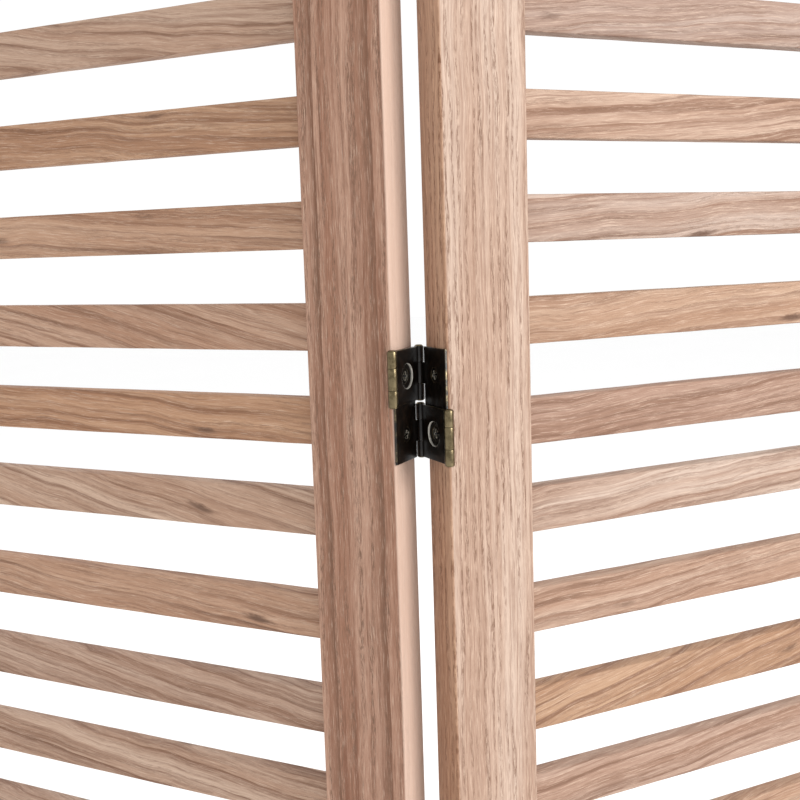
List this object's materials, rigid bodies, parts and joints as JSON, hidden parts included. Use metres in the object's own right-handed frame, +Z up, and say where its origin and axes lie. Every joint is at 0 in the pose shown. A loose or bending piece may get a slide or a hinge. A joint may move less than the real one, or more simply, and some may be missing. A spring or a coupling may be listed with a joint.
{
  "type": "folding room divider screen",
  "caption": "Free-standing folding screen of slatted wooden panels joined by double-action hinges that fold either way.",
  "frame": {"origin": "middle of the overall box at floor level, with the screen standing in its zigzag", "axes": "+Z up, -Y towards the front, where the first and the third fold stand forward, +X along the row of panels"},
  "size_m": [1.494, 0.219, 1.7],
  "materials": {
    "stile_wood": "raw planed, fine upright streaks",
    "rail_wood": "raw planed",
    "slat_wood": "raw sawn and sanded, wavy growth rings",
    "dowel_wood": "raw turned",
    "lacquered_hinge": "black lacquer over brass, worn through on edges and barrels",
    "pin_brass": "antique brass",
    "blackened_screw": "blackened"
  },
  "bodies": {
    "panel_1": {"panel_1_left_stile": "stile_wood", "panel_1_right_stile": "stile_wood", "panel_1_top_rail": "rail_wood", "panel_1_bottom_rail": "rail_wood", "panel_1_slats": "slat_wood", "panel_1_rail_dowels": "dowel_wood", "panel_1_hinge_screws": "blackened_screw", "hinge_line_1_left_leaves": "lacquered_hinge", "hinge_line_1_open_pin_middles": "pin_brass"},
    "panel_2": {"panel_2_left_stile": "stile_wood", "panel_2_right_stile": "stile_wood", "panel_2_top_rail": "rail_wood", "panel_2_bottom_rail": "rail_wood", "panel_2_slats": "slat_wood", "panel_2_rail_dowels": "dowel_wood", "panel_2_hinge_screws": "blackened_screw", "hinge_line_1_right_leaves": "lacquered_hinge", "hinge_line_1_lower_links": "lacquered_hinge", "hinge_line_1_lower_pins": "pin_brass", "hinge_line_1_open_pin_ends": "pin_brass", "hinge_line_2_left_leaves": "lacquered_hinge", "hinge_line_2_lower_links": "lacquered_hinge", "hinge_line_2_lower_pins": "pin_brass", "hinge_line_2_open_pin_ends": "pin_brass"},
    "panel_3": {"panel_3_left_stile": "stile_wood", "panel_3_right_stile": "stile_wood", "panel_3_top_rail": "rail_wood", "panel_3_bottom_rail": "rail_wood", "panel_3_slats": "slat_wood", "panel_3_rail_dowels": "dowel_wood", "panel_3_hinge_screws": "blackened_screw", "hinge_line_2_right_leaves": "lacquered_hinge", "hinge_line_2_open_pin_middles": "pin_brass", "hinge_line_3_left_leaves": "lacquered_hinge", "hinge_line_3_open_pin_middles": "pin_brass"},
    "panel_4": {"panel_4_left_stile": "stile_wood", "panel_4_right_stile": "stile_wood", "panel_4_top_rail": "rail_wood", "panel_4_bottom_rail": "rail_wood", "panel_4_slats": "slat_wood", "panel_4_rail_dowels": "dowel_wood", "panel_4_hinge_screws": "blackened_screw", "hinge_line_3_right_leaves": "lacquered_hinge", "hinge_line_3_lower_links": "lacquered_hinge", "hinge_line_3_lower_pins": "pin_brass", "hinge_line_3_open_pin_ends": "pin_brass"},
    "upper_links_1": {"hinge_line_1_upper_links": "lacquered_hinge", "hinge_line_1_upper_pins": "pin_brass"},
    "upper_links_2": {"hinge_line_2_upper_links": "lacquered_hinge", "hinge_line_2_upper_pins": "pin_brass"},
    "upper_links_3": {"hinge_line_3_upper_links": "lacquered_hinge", "hinge_line_3_upper_pins": "pin_brass"}
  },
  "joints": [
    {"name": "rear_fold_1", "type": "hinge", "parent": "panel_2", "child": "upper_links_1", "pos_m": [-0.37705, -0.06489, 0.85], "axis": [0, 0, 1], "range_deg": [-128.5, 51.5]},
    {"name": "front_fold_1", "type": "hinge", "parent": "upper_links_1", "child": "panel_1", "pos_m": [-0.38835, -0.08786, 0.85], "axis": [0, 0, 1], "range_deg": [0, 180]},
    {"name": "front_fold_2", "type": "hinge", "parent": "panel_2", "child": "upper_links_2", "pos_m": [-0.00149, 0.08432, 0.85], "axis": [0, 0, 1], "range_deg": [-126.5, 53.5]},
    {"name": "rear_fold_2", "type": "hinge", "parent": "upper_links_2", "child": "panel_3", "pos_m": [0.0106, 0.10688, 0.85], "axis": [0, 0, 1], "range_deg": [0, 180]},
    {"name": "front_fold_3", "type": "hinge", "parent": "panel_3", "child": "upper_links_3", "pos_m": [0.35394, -0.10626, 0.85], "axis": [0, 0, -1], "range_deg": [0, 180]},
    {"name": "rear_fold_3", "type": "hinge", "parent": "upper_links_3", "child": "panel_4", "pos_m": [0.36603, -0.0837, 0.85], "axis": [0, 0, -1], "range_deg": [-130, 50]}
  ]
}
